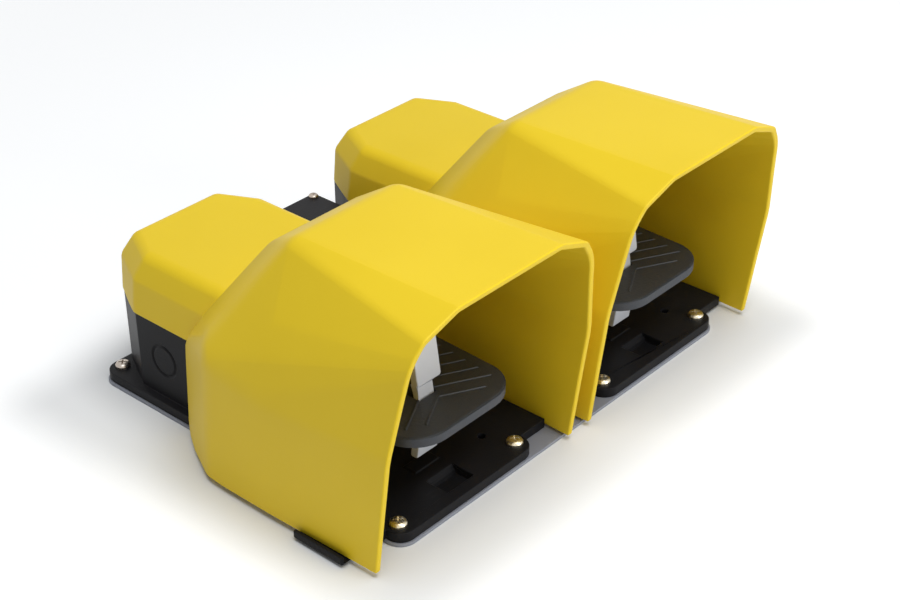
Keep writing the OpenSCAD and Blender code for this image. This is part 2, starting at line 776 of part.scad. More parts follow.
// Wire swept along points: each point has a direction out of its coil, whose axis is the same for all
module wire(points, outward, axis, r) {
    n = len(points);
    k = 6;
    polyhedron(
        points = [for (i = [0 : n - 1]) for (j = [0 : k - 1]) let (a = 360 * j / k)
            points[i] + r * (cos(a) * outward[i] + sin(a) * axis)],
        faces = concat(
            [[for (j = [0 : k - 1]) j]],
            [for (i = [0 : n - 2]) for (j = [0 : k - 1]) let (m = (j + 1) % k)
                let (a = i * k, b = a + k) each [[a + j, b + j, b + m], [a + j, b + m, a + m]]],
            [[for (j = [k - 1 : -1 : 0]) (n - 1) * k + j]]
        )
    );
}

// Least distance between turns that are at least half a turn apart, less the wire
function least_gap(points, wire_r, apart) = min([
    for (i = [0 : len(points) - 1]) for (j = [i + apart : 1 : len(points) - 1]) norm(points[i] - points[j])
]) - 2 * wire_r;

// Pedal return spring: close turns at both ends, open turns between
spring_turns = 7;
spring_low = base_top + spring_wire + 0.2;
spring_high = tread_under - spring_wire - 0.2;
end_turn = 2 * spring_wire + 0.5;
function spring_z(t) = t < 1 ? spring_low + end_turn * t
    : t > spring_turns - 1 ? spring_high - end_turn * (spring_turns - t)
    : ahead(spring_low + end_turn, spring_high - end_turn, (t - 1) / (spring_turns - 2));
return_points = [
    for (i = [0 : spring_turns * spring_steps]) let (t = i / spring_steps, a = 360 * t)
        [spring_r * cos(a), spring_y + spring_r * sin(a), spring_z(t)]
];
return_out = [
    for (i = [0 : spring_turns * spring_steps]) let (a = 360 * i / spring_steps) [cos(a), sin(a), 0]
];

module return_spring(side) {
    color(steel) in_unit(side) wire(return_points, return_out, [0, 0, 1], spring_wire);
    echo(return_spring_gap = least_gap(return_points, spring_wire, spring_steps / 2));
}

// Latch spring: its turns lie round the latch pin, one leg on the slot wall, one on the latch's peg
coil_turns = 2.25;
coil_pitch = 1.4;
coil_x = 9.1;
coil_steps = 8;
coil_n = coil_turns * coil_steps;
function coil_dir(t) = let (a = 90 + 360 * t) [0, cos(a), sin(a)];
coil_axis = [0, -latch_pin_y, latch_pin_z];
coil_middle = [
    for (i = [0 : coil_n]) let (t = i / coil_steps)
        coil_axis + [coil_x + coil_pitch * t, 0, 0] + coil_r * coil_dir(t)
];
coil_points = concat(
    [coil_middle[0] + [0, barrel_r - 0.1, 0], coil_middle[0] + [0, coil_r / 2, 0]],
    coil_middle,
    [coil_middle[coil_n] + [0, 0, -3], coil_middle[coil_n] + [0, 0, -9.8]]
);
coil_out = concat(
    [coil_dir(0), coil_dir(0)],
    [for (i = [0 : coil_n]) coil_dir(i / coil_steps)],
    [coil_dir(coil_turns), coil_dir(coil_turns)]
);

module latch_spring(side) {
    color(steel) in_unit(side) wire(coil_points, coil_out, [1, 0, 0], coil_wire);
    echo(latch_spring_gap = least_gap(coil_middle, coil_wire, coil_steps / 2));
}

// Contact block on its four posts, with a stepped top for the terminals
block_w = 50;
block_h = 14;
block_raised = post_x - block_screw_head_r - clear;
terminal_r = 2;
terminal_head_r = 3.2;
terminal_in = 13;
terminal_spots = [
    for (y = [block_y0 + terminal_in, block_y1 - terminal_in]) [block_w / 2 - 4, y]
];
terminal_floor = 6;
terminal_depth = block_h - terminal_floor;
plunger_in_block = 12;
plunger_y = block_y0 + plunger_in_block;
plunger_r = 3;
plunger_in = 8;
module contact_block(side) {
    color("#3a3f45") in_unit(side) difference() {
        union() {
            translate([-block_w / 2, block_y0, block_low]) cube([block_w, block_y1 - block_y0, block_h]);
            translate([-block_raised, block_y0, block_low]) {
                cube([2 * block_raised, block_y1 - block_y0, 2 * block_h]);
            }
        }
        translate([0, plunger_y, block_low - 1]) cylinder(r = plunger_r + pin_clear, h = 2 * plunger_in + 4);
        both_sides() for (y = post_y) translate([post_x, y, block_low - 1]) {
            cylinder(r = block_screw_r + pin_clear, h = block_h + 2);
        }
        both_sides() for (p = terminal_spots) translate([p[0], p[1], block_low + block_h - terminal_depth]) {
            cylinder(r = terminal_r + pin_clear, h = terminal_depth + 1);
        }
    }
}

module plunger(side) {
    low = tail_top + seat_gap;
    color("#d9d4c4") in_unit(side) translate([0, plunger_y, low + plunger_r]) {
        cylinder(r = plunger_r, h = block_low - low + plunger_in);
        sphere(r = plunger_r);
    }
}

module block_screws() {
    color(steel) for (side = [-1, 1]) in_unit(side) both_sides() for (y = post_y) {
        translate([post_x, y, block_low + block_h]) {
            pan_screw(block_screw_r, block_screw_l, block_screw_head_r, block_screw_head_h);
        }
    }
}

module terminal_screws() {
    color(brass_zinc) {
        for (side = [-1, 1]) in_unit(side) both_sides() for (p = terminal_spots) {
            translate([p[0], p[1], block_low + block_h]) {
                pan_screw(terminal_r, terminal_depth - 1, terminal_head_r, 2);
            }
        }
        in_frame() for (i = [-strip_n : strip_n]) translate([i * strip_step, strip_y, strip_low + strip_h]) {
            pan_screw(terminal_r, strip_well - 1, terminal_head_r - 0.2, 1.6);
        }
    }
}

module front_screws() {
    color(brass_zinc) for (side = [-1, 1]) in_unit(side) both_sides() {
        translate([front_screw_spot[0], front_screw_spot[1], base_top]) {
            pan_screw(base_screw_r, base_screw_l, front_head[0], front_head[1]);
        }
    }
}

module rear_screws() {
    color("#8f8378") for (side = [-1, 1]) in_unit(side) both_sides() {
        translate([rear_screw_spot[0], rear_screw_spot[1], base_top]) {
            pan_screw(base_screw_r, base_screw_l, rear_head[0], rear_head[1]);
        }
    }
}

// Screws that hold hood and cover from below
module hood_screws() {
    color(steel) for (side = [-1, 1]) in_unit(side) both_sides() {
        translate([hood_screw_spot[0], hood_screw_spot[1], plate_t + hood_screw_sink]) mirror([0, 0, 1]) {
            pan_screw(hood_screw_r, hood_boss_h + base_t - hood_screw_sink - 4, hood_screw_head_r, 2);
        }
    }
}

cover_screw_l = cover_low - plate_t - cover_screw_sink + cover_boss_h / 2 - cover_screw_end;
module cover_screws() {
    color(steel) for (side = [-1, 1]) in_unit(side) both_sides() for (p = cover_screw_spots) {
        translate([p[0], p[1], plate_t + cover_screw_sink]) mirror([0, 0, 1]) {
            pan_screw(cover_screw_r, cover_screw_l, cover_head_r, cover_head_h);
        }
    }
}

// Junction box between the housings
lid_t = 3;
junction_gasket_t = 1;
junction_rim = junction_h - lid_t - junction_gasket_t;
corner_post = 3.4;
lid_spots = [
    for (x = [-1, 1]) for (y = [junction_front + corner_post, junction_rear - corner_post])
        [x * (junction_half - corner_post), y]
];
entry_z = 28;
strip_low = plate_t + junction_wall + 4;
strip_h = 12;
strip_w = 16;
strip_step = 9;
strip_room = 5;
strip_n = floor((foot_half - junction_wall - strip_room) / strip_step - 0.5);
strip_well = 6;
strip_y = junction_front + 32;
lid_screw_r = 1.5;
lid_screw_l = 14;

module junction_plan(inset) {
    x = junction_half - inset;
    round_rect(-x, junction_front + inset, x, junction_rear - inset, max(1, 3 - inset));
}

// The box stands on the plate with a narrow foot and widens above the bases
junction_step = base_top + seat_gap;
foot_inset = junction_half - foot_half;
module junction_box() {
    color(black) in_frame() difference() {
        union() {
            translate([0, 0, plate_t]) linear_extrude(junction_step - plate_t + 1) junction_plan(foot_inset);
            translate([0, 0, junction_step]) linear_extrude(junction_rim - junction_step) junction_plan(0);
        }
        difference() {
            union() {
                translate([0, 0, plate_t + junction_wall]) linear_extrude(junction_rim) {
                    junction_plan(foot_inset + junction_wall);
                }
                translate([0, 0, junction_step + junction_wall]) linear_extrude(junction_rim) {
                    junction_plan(junction_wall);
                }
            }
            for (p = lid_spots) translate([p[0], p[1], plate_t]) cylinder(r = corner_post, h = junction_rim);
            for (x = [-strip_n, strip_n]) translate([x * strip_step, strip_y, plate_t]) {
                linear_extrude(strip_low - plate_t) square(strip_step / 1.5, center = true);
            }
        }
        for (p = lid_spots) translate([p[0], p[1], junction_h - lid_screw_l - 2]) {
            cylinder(r = lid_screw_r + pin_clear, h = lid_screw_l + 2);
        }
        for (p = box_screw_spots) translate([p[0], p[1], 0]) {
            cylinder(r = box_screw_r + pin_clear, h = plate_t + junction_wall + 1);
        }
        rod_x(knock_r, -unit_pitch / 2, unit_pitch / 2, knock_y, knock_z);
        translate([0, junction_rear + 1, entry_z]) rotate([90, 0, 0]) {
            cylinder(r = entry_r, h = junction_wall + 2);
        }
    }
}

module junction_gasket() {
    color("#303032") in_frame() translate([0, 0, junction_rim]) {
        linear_extrude(junction_gasket_t) difference() {
            junction_plan(0.4);
            junction_plan(junction_wall - 0.4);
            for (p = lid_spots) translate(p) circle(r = lid_screw_r + 0.5);
        }
    }
}

module junction_lid() {
    color(black) in_frame() difference() {
        union() {
            translate([0, 0, junction_h - lid_t]) linear_extrude(lid_t - 0.6) junction_plan(-0.7);
            translate([0, 0, junction_h - 0.7]) linear_extrude(0.7) junction_plan(-0.1);
        }
        for (p = lid_spots) translate([p[0], p[1], junction_rim]) {
            cylinder(r = lid_screw_r + pin_clear, h = lid_t + 2 * junction_gasket_t);
        }
    }
}

module lid_screws() {
    color("#8f8378") in_frame() for (p = lid_spots) {
        translate([p[0], p[1], junction_h]) pan_screw(lid_screw_r, lid_screw_l, 2 * lid_screw_r + 0.1, 2.2);
    }
}

module box_screws() {
    color(steel) in_frame() for (p = box_screw_spots) {
        translate([p[0], p[1], plate_t + junction_wall]) {
            pan_screw(box_screw_r, plate_t + junction_wall - 0.3, 2 * box_screw_r, 2.6);
        }
    }
}

// Terminal strip: wells between ribs
module terminal_strip() {
    color("#d9d4c4") in_frame() difference() {
        translate([-(strip_n + 0.5) * strip_step, strip_y - strip_w / 2, strip_low]) {
            cube([(2 * strip_n + 1) * strip_step, strip_w, strip_h]);
        }
        for (i = [-strip_n : strip_n]) translate([i * strip_step, strip_y, strip_low]) {
            translate([0, 0, strip_h - strip_well]) cylinder(r = terminal_r + pin_clear, h = strip_well + 1);
            for (y = [-strip_w / 2 - 1, strip_w / 2 - 3]) translate([-strip_step / 3, y, strip_h / 4]) {
                cube([strip_step / 1.5, 4, strip_h / 2]);
            }
        }
    }
}

// Threaded link bushes that carry the wires from each housing into the junction box
link_bore = 7.5;
module link_bushes() {
    inner = junction_half - junction_wall - 5;
    outer = unit_pitch / 2 - box_w / 2 + box_wall + 5;
    color(steel) in_frame() for (s = [-1, 1]) scale_x(s) difference() {
        rod_x(knock_r - pin_clear, inner, outer, knock_y, knock_z);
        rod_x(link_bore, inner - 1, outer + 1, knock_y, knock_z);
    }
}

module link_nuts() {
    nut_t = 3.5;
    nut_r = knock_r + 3.45;
    color(steel) in_frame() for (s = [-1, 1]) scale_x(s) {
        box_inside = unit_pitch / 2 - box_w / 2 + box_wall;
        for (x = [junction_half - junction_wall - nut_t, box_inside]) difference() {
            translate([x, knock_y, knock_z]) rotate([0, 90, 0]) cylinder(r = nut_r, h = nut_t, $fn = 6);
            rod_x(knock_r, x - 1, x + nut_t + 1, knock_y, knock_z);
        }
    }
}

mounting_plate();
base(-1);  // left_base
base(1);  // right_base
hood(-1);  // left_hood
hood(1);  // right_hood
rear_cover(-1);  // left_rear_cover
rear_cover(1);  // right_rear_cover
cover_gasket(-1);  // left_cover_gasket
cover_gasket(1);  // right_cover_gasket
pedal(-1);  // left_pedal
pedal(1);  // right_pedal
pivot_pin(-1);  // left_pivot_pin
pivot_pin(1);  // right_pivot_pin
latch(-1);  // left_latch
latch(1);  // right_latch
latch_pin(-1);  // left_latch_pin
latch_pin(1);  // right_latch_pin
latch_spring(-1);  // left_latch_spring
latch_spring(1);  // right_latch_spring
return_spring(-1);  // left_return_spring
return_spring(1);  // right_return_spring
contact_block(-1);  // left_contact_block
contact_block(1);  // right_contact_block
plunger(-1);  // left_plunger
plunger(1);  // right_plunger
pivot_clips();
front_screws();
rear_screws();
hood_screws();
cover_screws();
block_screws();
junction_box();
junction_lid();
junction_gasket();
lid_screws();
box_screws();
terminal_strip();
terminal_screws();
link_bushes();
link_nuts();
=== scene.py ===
# Looks of the double foot switch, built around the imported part. Metres, +Z up, hood openings towards -Y.
import json
import math

import bmesh
import bpy
from mathutils import Matrix, Vector

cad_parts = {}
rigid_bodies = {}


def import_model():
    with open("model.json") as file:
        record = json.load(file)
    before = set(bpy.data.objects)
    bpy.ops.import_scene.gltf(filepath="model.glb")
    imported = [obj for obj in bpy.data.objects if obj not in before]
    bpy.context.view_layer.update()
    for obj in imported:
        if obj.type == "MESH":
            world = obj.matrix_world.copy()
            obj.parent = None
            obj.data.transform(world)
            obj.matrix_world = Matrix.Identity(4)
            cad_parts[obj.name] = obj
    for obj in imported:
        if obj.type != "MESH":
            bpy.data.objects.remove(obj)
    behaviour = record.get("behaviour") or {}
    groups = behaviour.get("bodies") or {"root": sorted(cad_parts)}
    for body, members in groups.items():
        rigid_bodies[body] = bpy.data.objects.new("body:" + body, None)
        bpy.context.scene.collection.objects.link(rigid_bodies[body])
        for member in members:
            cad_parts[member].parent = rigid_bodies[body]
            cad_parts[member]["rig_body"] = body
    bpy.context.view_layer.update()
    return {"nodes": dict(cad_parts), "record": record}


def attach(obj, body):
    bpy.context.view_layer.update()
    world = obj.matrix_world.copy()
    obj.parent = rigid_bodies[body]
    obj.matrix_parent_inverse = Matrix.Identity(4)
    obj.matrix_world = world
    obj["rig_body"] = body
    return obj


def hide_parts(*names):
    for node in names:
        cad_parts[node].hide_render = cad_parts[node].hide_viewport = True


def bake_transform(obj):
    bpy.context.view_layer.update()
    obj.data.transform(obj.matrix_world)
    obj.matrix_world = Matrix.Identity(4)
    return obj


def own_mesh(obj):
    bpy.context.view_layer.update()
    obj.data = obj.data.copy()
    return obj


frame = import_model()
nodes = frame["nodes"]
scene = bpy.context.scene
mm = 0.001
unitHalf = 85.75  # mid-plane of a unit from the middle, in mm
unitShift = -40.75  # the part's origin against the zero line of a unit, in mm
sides = {"left": -1, "right": 1}


# Camera at the photograph's angle: metres and degrees, with lens and sensor in mm
view = {
    "place": (-0.6441, -0.59075, 0.5802), "azimuth": -48.22, "elevation": 31.62, "roll": -0.51,
    "lens": 70.79, "sensor": 36, "reach": 20,
}


def addCamera():
    azimuth, elevation, roll = (math.radians(view[key]) for key in ("azimuth", "elevation", "roll"))
    level = math.cos(elevation)
    back = Vector((math.sin(azimuth) * level, -math.cos(azimuth) * level, math.sin(elevation)))
    right = Vector((0, 0, 1)).cross(back).normalized()
    turned = Matrix((right, back.cross(right), back)).transposed() @ Matrix.Rotation(roll, 3, "Z")
    camera = bpy.data.objects.new("camera", bpy.data.cameras.new("camera"))
    scene.collection.objects.link(camera)
    camera.data.lens = view["lens"]
    camera.data.sensor_width = view["sensor"]
    camera.data.clip_end = view["reach"]
    camera.matrix_world = Matrix.Translation(view["place"]) @ turned.to_4x4()
    scene.camera = camera


addCamera()
print("camera placed")


# Shader maths: a value wraps one socket, and a finish holds one material
class Value:
    def __init__(self, finish, socket):
        self.finish, self.socket = finish, socket

    def joined(self, operation, other):
        return self.finish.node("Math", {"operation": operation}, {0: self, 1: other})

    def __add__(self, other):
        return self.joined("ADD", other)

    def __sub__(self, other):
        return self.joined("SUBTRACT", other)

    def __mul__(self, other):
        return self.joined("MULTIPLY", other)

    __radd__ = __add__


class Finish:
    def __init__(self, name, **constants):
        self.material = bpy.data.materials.new(name)
        self.material.use_nodes = True
        self.tree = self.material.node_tree
        self.shader = self.tree.nodes["Principled BSDF"]
        self.place = self.node("TexCoord", output="Object")
        for key, value in constants.items():
            self.shader.inputs[key.replace("_", " ")].default_value = value

    def node(self, kind, settings=None, sockets=None, output=0):
        made = self.tree.nodes.new("ShaderNode" + kind)
        for key, value in (settings or {}).items():
            setattr(made, key, value)
        for key, value in (sockets or {}).items():
            self.put(made.inputs[key], value)
        return Value(self, made.outputs[output])

    def put(self, socket, value):
        if isinstance(value, Value):
            self.tree.links.new(value.socket, socket)
        elif socket.type == "RGBA":
            socket.default_value = (*value, 1)
        else:
            socket.default_value = value

    def noise(self, scale, detail, roughness=0.5, stretch=None):
        place = self.place
        if stretch:
            place = self.node("Mapping", None, {"Vector": self.place, "Scale": stretch})
        sockets = {"Vector": place, "Scale": scale, "Detail": detail, "Roughness": roughness}
        return self.node("TexNoise", None, sockets, "Fac")

    def cells(self, scale):
        return self.node("TexVoronoi", {"feature": "F1"}, {"Vector": self.place, "Scale": scale}, "Distance")

    def ranged(self, value, low, high):
        sockets = {"Value": value, "From Min": low, "From Max": high, "To Min": 0, "To Max": 1}
        return self.node("MapRange", {"interpolation_type": "SMOOTHSTEP"}, sockets)

    def mixed(self, factor, first, second):
        return self.node("Mix", {"data_type": "RGBA"}, {0: factor, 6: first, 7: second}, 2)

    def bump(self, height, distance, strength, edge):
        softened = self.node("Bevel", {"samples": 4}, {"Radius": edge})
        sockets = {"Height": height, "Distance": distance, "Strength": strength, "Normal": softened}
        self.put(self.shader.inputs["Normal"], self.node("Bump", None, sockets))

    def finished(self, colour, roughness):
        self.put(self.shader.inputs["Base Color"], colour)
        self.put(self.shader.inputs["Roughness"], roughness)
        return self.material


# Moulded plastic and paint. A noise is given by scale, detail, roughness and stretch.
noiseMiddle = 0.5  # what a noise gives on average
mouldedTexture = {
    "cloud": (9, 3), "cloudRange": (0.3, 0.7), "cloudRough": 0.12,
    "grain": (2, 0.6), "grainBump": 0.6, "grainRough": 0.1,  # the grain's scale is each finish's own
    "pitScale": 0.55, "pitBump": 0.4,  # the pits' scale is a share of the grain's
    "scuffs": (26, 4, 0.65, (1, 3, 1)), "scuffRange": (0.6, 0.78), "scuffRough": 0.08,
    "strength": 1.0, "specular": 0.5,
}


def mouldedFinish(name, look):
    texture = mouldedTexture
    finish = Finish(name, Specular_IOR_Level=look.get("specular", texture["specular"]))
    cloud = finish.noise(*texture["cloud"])
    grain = finish.noise(look["grain"], *texture["grain"])
    pits = finish.cells(look["grain"] * texture["pitScale"])
    scuffs = finish.ranged(finish.noise(*texture["scuffs"]), *texture["scuffRange"])
    shade = finish.mixed(finish.ranged(cloud, *texture["cloudRange"]), look["colour"], look["second"])
    shade = finish.mixed(scuffs * look["scuffed"], shade, look["scuff"])
    height = grain * texture["grainBump"] + pits * texture["pitBump"]
    finish.bump(height, look["depth"], texture["strength"], look["edge"])
    rough = look["roughness"] + (cloud - noiseMiddle) * texture["cloudRough"]
    rough = rough + (grain - noiseMiddle) * texture["grainRough"] + scuffs * texture["scuffRough"]
    return finish.finished(shade, rough)


moulded = {
    "yellowShell": {
        "colour": (0.84, 0.595, 0.02), "second": (0.81, 0.57, 0.018), "scuff": (0.85, 0.64, 0.05),
        "scuffed": 0.15, "grain": 1500, "depth": 0.00006, "roughness": 0.47, "edge": 0.0004,
        "specular": 0.2,
    },
    "blackBody": {
        "colour": (0.0105, 0.0102, 0.0112), "second": (0.0135, 0.013, 0.0145), "scuff": (0.05, 0.05, 0.052),
        "scuffed": 0.25, "grain": 1300, "depth": 0.00007, "roughness": 0.42, "edge": 0.0006,
        "specular": 0.1,
    },
    "treadBlack": {
        "colour": (0.024, 0.027, 0.034), "second": (0.031, 0.035, 0.043), "scuff": (0.08, 0.08, 0.085),
        "scuffed": 0.35, "grain": 900, "depth": 0.00016, "roughness": 0.5, "edge": 0.0005,
    },
    "latchGrey": {
        "colour": (0.71, 0.72, 0.755), "second": (0.67, 0.68, 0.715), "scuff": (0.84, 0.84, 0.84),
        "scuffed": 0.2, "grain": 1100, "depth": 0.00004, "roughness": 0.38, "edge": 0.0005,
    },
    "platePaint": {
        "colour": (0.27, 0.28, 0.325), "second": (0.25, 0.26, 0.30), "scuff": (0.66, 0.66, 0.66),
        "scuffed": 0.3, "grain": 600, "depth": 0.00008, "roughness": 0.42, "edge": 0.0004,
        "specular": 0.3,
    },
    "sealRubber": {
        "colour": (0.022, 0.022, 0.022), "second": (0.03, 0.03, 0.03), "scuff": (0.08, 0.08, 0.08),
        "scuffed": 0.3, "grain": 1800, "depth": 0.00004, "roughness": 0.7, "edge": 0.0002,
    },
    "contactPlastic": {
        "colour": (0.035, 0.045, 0.055), "second": (0.045, 0.055, 0.065), "scuff": (0.1, 0.1, 0.1),
        "scuffed": 0.2, "grain": 1500, "depth": 0.00003, "roughness": 0.32, "edge": 0.0005,
    },
    "creamPlastic": {
        "colour": (0.66, 0.60, 0.47), "second": (0.61, 0.55, 0.42), "scuff": (0.5, 0.45, 0.36),
        "scuffed": 0.3, "grain": 1500, "depth": 0.00003, "roughness": 0.4, "edge": 0.0004,
    },
}

# Plated and blank metal
metalTexture = {
    "film": (120, 3, 0.6), "filmRange": (0.3, 0.7),
    "lines": (900, 2, 0.5, (1, 1, 6)), "lineRough": 0.2,
    "spots": (380, 3, 0.7), "spotRange": (0.58, 0.75), "spotShare": 0.35, "spotRough": 0.12,
    "strength": 0.6, "edge": 0.0002,
}


def metalFinish(name, look):
    texture = metalTexture
    finish = Finish(name, Metallic=1.0)
    film = finish.noise(*texture["film"])
    lines = finish.noise(*texture["lines"])
    spots = finish.ranged(finish.noise(*texture["spots"]), *texture["spotRange"])
    shade = finish.mixed(finish.ranged(film, *texture["filmRange"]), look["colour"], look["second"])
    shade = finish.mixed(spots * texture["spotShare"], shade, look["dull"])
    finish.bump(lines, look["depth"], texture["strength"], texture["edge"])
    rough = look["roughness"] + (lines - noiseMiddle) * texture["lineRough"] + spots * texture["spotRough"]
    return finish.finished(shade, rough)


metals = {
    "yellowZinc": {
        "colour": (0.80, 0.71, 0.50), "second": (0.74, 0.67, 0.52), "dull": (0.55, 0.49, 0.36),
        "depth": 0.00002, "roughness": 0.3,
    },
    "bronzedZinc": {
        "colour": (0.50, 0.43, 0.36), "second": (0.44, 0.39, 0.35), "dull": (0.3, 0.26, 0.22),
        "depth": 0.00002, "roughness": 0.28,
    },
    "brightSteel": {
        "colour": (0.66, 0.66, 0.67), "second": (0.60, 0.61, 0.62), "dull": (0.45, 0.45, 0.45),
        "depth": 0.00002, "roughness": 0.26,
    },
    "springSteel": {
        "colour": (0.50, 0.50, 0.50), "second": (0.42, 0.42, 0.43), "dull": (0.3, 0.29, 0.28),
        "depth": 0.00001, "roughness": 0.32,
    },
    "terminalBrass": {
        "colour": (0.78, 0.60, 0.30), "second": (0.72, 0.56, 0.30), "dull": (0.5, 0.4, 0.24),
        "depth": 0.00002, "roughness": 0.28,
    },
    "platedBrass": {
        "colour": (0.66, 0.64, 0.60), "second": (0.60, 0.58, 0.54), "dull": (0.46, 0.43, 0.38),
        "depth": 0.00002, "roughness": 0.3,
    },
}
finishes = {name: mouldedFinish(name, look) for name, look in moulded.items()}
finishes.update({name: metalFinish(name, look) for name, look in metals.items()})

# The record's slot of each finish
slotOf = {
    "yellowShell": "yellow_shell", "blackBody": "black_body", "treadBlack": "tread",
    "latchGrey": "latch_grey", "platePaint": "plate_steel", "sealRubber": "gasket_rubber",
    "contactPlastic": "contact_plastic", "creamPlastic": "cream_plastic", "yellowZinc": "yellow_zinc",
    "bronzedZinc": "bronzed_zinc", "brightSteel": "bright_steel", "springSteel": "spring_steel",
    "terminalBrass": "terminal_brass", "platedBrass": "plated_brass",
}
finishOf = {slot: name for name, slot in slotOf.items()}
for row in frame["record"]["subparts"]:
    piece = nodes[row["node"]]
    piece.data.materials.clear()
    piece.data.materials.append(finishes[finishOf[row["material_slot"]]])
print("finishes made:", len(finishes))


# A mesh made into a piece that replaces solids of the frame
def newPiece(name, shape, finish, body, *replaced):
    mesh = bpy.data.meshes.new(name)
    shape.to_mesh(mesh)
    shape.free()
    piece = bpy.data.objects.new(name, mesh)
    scene.collection.objects.link(piece)
    mesh.materials.clear()
    mesh.materials.append(finishes[finish])
    if body:
        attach(piece, body)
    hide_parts(*replaced)
    return piece


# Smooth shading up to an angle in degrees, with large faces kept flat where weighted
flatWeight = 60  # of 100


def smoothed(piece, angle, weighted=True):
    piece.data.polygons.foreach_set("use_smooth", [True] * len(piece.data.polygons))
    piece.data.set_sharp_from_angle(angle=math.radians(angle))
    if weighted:
        modifier = piece.modifiers.new("normals", "WEIGHTED_NORMAL")
        modifier.keep_sharp = True
        modifier.weight = flatWeight
    return piece


# Rounding of a CAD node's copy: metres, degrees, and the most corners of a face that stays whole
rounding = {"merge": 0.000002, "flat": 0.6, "sharp": 40, "segments": 2, "whole": 12, "smooth": 32}


def sharpEdges(shape):
    least = math.radians(rounding["sharp"])
    return [e for e in shape.edges if len(e.link_faces) == 2 and e.calc_face_angle(0) > least]


def roundedCopy(node, finish, edge):
    shape = bmesh.new()
    shape.from_mesh(nodes[node].data)
    bmesh.ops.remove_doubles(shape, verts=shape.verts, dist=rounding["merge"])
    flat = math.radians(rounding["flat"])
    bmesh.ops.dissolve_limit(shape, angle_limit=flat, verts=shape.verts, edges=shape.edges)
    if node.endswith("_base"):  # else the bulkhead's face folds over its opening
        crowded = [face for face in shape.faces if len(face.verts) > rounding["whole"]]
        bmesh.ops.triangulate(shape, faces=crowded, ngon_method="EAR_CLIP")
    bmesh.ops.bevel(shape, geom=sharpEdges(shape), offset=edge, segments=rounding["segments"], profile=0.5,
                    affect="EDGES", clamp_overlap=False, material=-1)
    name = "".join(word.capitalize() if i else word for i, word in enumerate(node.split("_"))) + "Soft"
    return smoothed(newPiece(name, shape, finish, nodes[node]["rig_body"], node), rounding["smooth"])


# Solid work on whole shapes, with the exact solver
def solidWork(shape, cutter, operation):
    pair = []
    for part in (shape, cutter):
        mesh = bpy.data.meshes.new("work")
        part.to_mesh(mesh)
        pair.append(bpy.data.objects.new("work", mesh))
        scene.collection.objects.link(pair[-1])
    modifier = pair[0].modifiers.new("cut", "BOOLEAN")
    modifier.object, modifier.operation, modifier.solver = pair[1], operation, "EXACT"
    result = bmesh.new()
    result.from_mesh(pair[0].evaluated_get(bpy.context.evaluated_depsgraph_get()).to_mesh())
    for work in pair:
        mesh = work.data
        bpy.data.objects.remove(work)
        bpy.data.meshes.remove(mesh)
    return result


# The corner points, or the edges, among the parts that an operator gives back
def onlyCorners(parts):
    return [part for part in parts if isinstance(part, bmesh.types.BMVert)]


def onlyEdges(parts):
    return [part for part in parts if isinstance(part, bmesh.types.BMEdge)]


# A prism of an outline drawn in Y and Z, across the mid-plane
def acrossPrism(outline, width):
    shape = bmesh.new()
    face = shape.faces.new([shape.verts.new((-width / 2, y, z)) for y, z in outline])
    grown = bmesh.ops.extrude_face_region(shape, geom=[face])
    bmesh.ops.translate(shape, vec=(width, 0, 0), verts=onlyCorners(grown["geom"]))
    bmesh.ops.recalc_face_normals(shape, faces=shape.faces)
    return shape


# An upright cylinder whose middle is given above a floor
def uprightCylinder(form, x, y, floor=0):
    shape = bmesh.new()
    spot = Matrix.Translation((x, y, floor + form["middle"]))
    bmesh.ops.create_cone(shape, cap_ends=True, segments=form["segments"], radius1=form["radius"],
                          radius2=form["radius"], depth=form["height"], matrix=spot)
    return shape


def levelBlock(size, middle):
    shape = bmesh.new()
    spot = Matrix.Translation(middle) @ Matrix.Diagonal((*size, 1))
    bmesh.ops.create_cube(shape, size=1, matrix=spot)
    return shape


# The skin round spheres that stand at the given corners, on both sides of the mid-plane
ballForm = {"around": 36, "upward": 18, "flat": 0.4}  # faces of a sphere, degrees of a face taken as flat


def roundHull(balls, inset):
    shape = bmesh.new()
    for place, radius in balls:
        for side in sides.values():
            spot = Matrix.Translation((side * place[0], place[1], place[2]))
            bmesh.ops.create_uvsphere(shape, u_segments=ballForm["around"], v_segments=ballForm["upward"],
                                      radius=radius - inset, matrix=spot)
    bmesh.ops.delete(shape, geom=list(shape.edges), context="EDGES_FACES")
    skin = bmesh.ops.convex_hull(shape, input=list(shape.verts))
    loose = set(onlyCorners(skin["geom_interior"] + skin["geom_unused"]))
    bmesh.ops.delete(shape, geom=list(loose), context="VERTS")
    flat = math.radians(ballForm["flat"])
    bmesh.ops.dissolve_limit(shape, angle_limit=flat, verts=shape.verts, edges=shape.edges)
    bmesh.ops.recalc_face_normals(shape, faces=shape.faces)
    return shape


# From mm of a unit to metres of the frame
def toFrame(shape, side):
    bmesh.ops.translate(shape, vec=(side * unitHalf, unitShift, 0), verts=shape.verts)
    bmesh.ops.scale(shape, vec=(mm, mm, mm), verts=shape.verts)
    return shape


